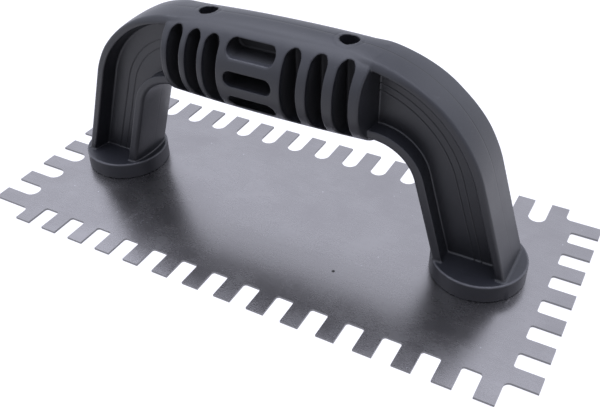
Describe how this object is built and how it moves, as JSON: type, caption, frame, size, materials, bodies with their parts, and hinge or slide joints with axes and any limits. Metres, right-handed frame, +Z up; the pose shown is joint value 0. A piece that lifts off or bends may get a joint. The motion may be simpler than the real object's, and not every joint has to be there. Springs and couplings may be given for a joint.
{
  "type": "notched trowel",
  "caption": "Flat steel trowel with square notches on two edges and U notches on the others, under a moulded plastic bridge handle, for spreading tile adhesive.",
  "frame": {"origin": "centre of the blade's underside, midway over its tooth tips", "axes": "+X along the blade towards the end with square notches, +Y towards the edge with U notches, +Z up towards the grip"},
  "size_m": [0.2106, 0.0988, 0.0755],
  "materials": {
    "blade_steel": "satin, fine grain along the blade",
    "handle_plastic": "satin moulded",
    "screw_steel": "zinc plated"
  },
  "bodies": {
    "root": {"blade": "blade_steel", "handle": "handle_plastic", "handle_screws": "screw_steel"}
  },
  "joints": []
}
